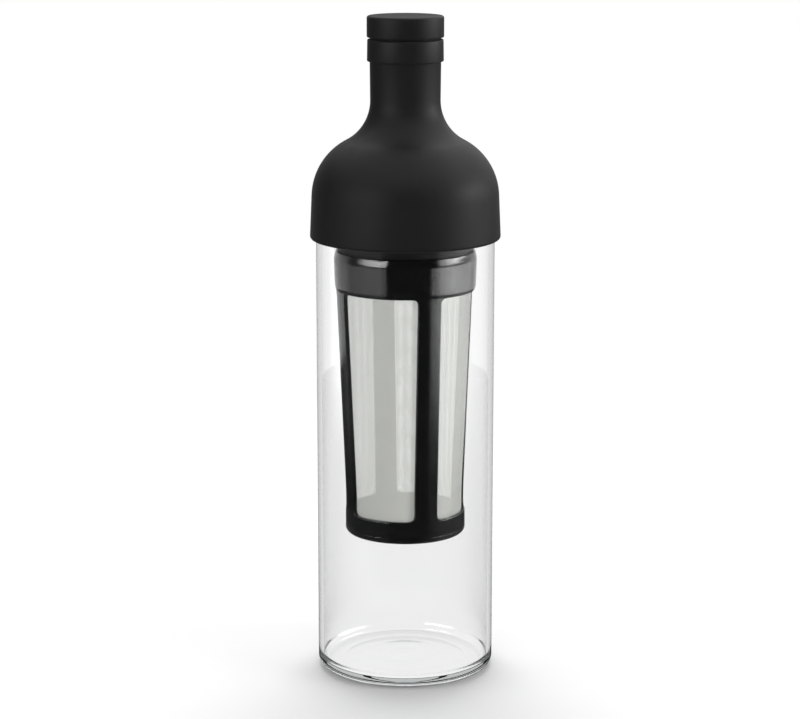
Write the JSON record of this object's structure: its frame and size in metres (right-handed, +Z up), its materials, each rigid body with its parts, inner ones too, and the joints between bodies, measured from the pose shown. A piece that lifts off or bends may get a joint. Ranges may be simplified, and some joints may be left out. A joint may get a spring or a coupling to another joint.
{
  "type": "cold brew coffee bottle",
  "caption": "Straight glass bottle with a black silicone bottleneck and stopper, and a mesh strainer hanging inside for steeping cold brew coffee.",
  "frame": {"origin": "centre of the bottle's base, on the surface that it stands on", "axes": "+Z up along the bottle's axis, -Y towards the front, +X to the right seen from the front"},
  "size_m": [0.0858, 0.0858, 0.2999],
  "materials": {
    "glass": "clear borosilicate glass, fire-polished rim",
    "silicone": "matt moulded silicone rubber",
    "polypropylene": "glossy injection-moulded polypropylene",
    "polyester_mesh": "fine plain-woven polyester monofilament mesh, see-through"
  },
  "bodies": {
    "bottle": {"glass_bottle": "glass"},
    "spout": {"spout_shoulder": "silicone", "spout_neck": "silicone", "spout_hanger": "silicone"},
    "stopper": {"stopper": "silicone"},
    "strainer": {"strainer_frame": "polypropylene", "mesh_panel_1": "polyester_mesh", "mesh_panel_2": "polyester_mesh", "mesh_panel_3": "polyester_mesh", "mesh_panel_4": "polyester_mesh"},
    "strainer_cover": {"strainer_base": "polypropylene"}
  },
  "joints": [
    {"name": "spout_lift", "type": "slide", "parent": "bottle", "child": "spout", "axis": [0, 0, 1], "range_m": [0, 0.21]},
    {"name": "stopper_pull", "type": "slide", "parent": "spout", "child": "stopper", "axis": [0, 0, 1], "range_m": [0, 0.05]},
    {"name": "strainer_pull", "type": "slide", "parent": "spout", "child": "strainer", "axis": [0, 0, -1], "range_m": [0, 0.03]},
    {"name": "cover_pull", "type": "slide", "parent": "strainer", "child": "strainer_cover", "axis": [0, 0, -1], "range_m": [0, 0.02]}
  ]
}
